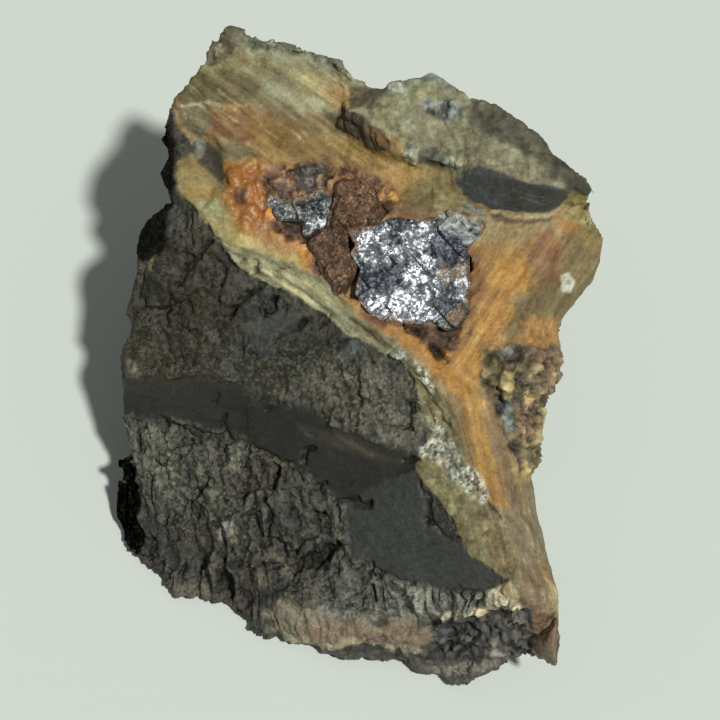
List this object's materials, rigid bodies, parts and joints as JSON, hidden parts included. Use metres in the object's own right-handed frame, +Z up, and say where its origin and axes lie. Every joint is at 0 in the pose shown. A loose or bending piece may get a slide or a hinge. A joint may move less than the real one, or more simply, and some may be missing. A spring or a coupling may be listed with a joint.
{
  "type": "galena specimen in vein rock",
  "caption": "Wedge of dark slate with a rust-stained vein face, bright cubic galena and brown limonite set in it; rests on a flat base.",
  "frame": {"origin": "on the flat underside that the stone rests on, below the middle of the pictured view", "axes": "+Z up from the table, +Y from the low front foot to the high back edge, +X to the right as the vein face is looked at"},
  "size_m": [0.0831, 0.0978, 0.0629],
  "materials": {
    "slate_and_vein_skin": "dark hackly slate, with a rust-orange, ochre and olive iron-stained skin on the vein face",
    "galena": "bright lead-grey metallic cleavage faces with duller grey patches",
    "limonite": "granular reddish-brown crust with small glossy grains"
  },
  "bodies": {
    "root": {"host_rock": "slate_and_vein_skin", "galena_large": "galena", "galena_small": "galena", "limonite_crust": "limonite"}
  },
  "joints": []
}
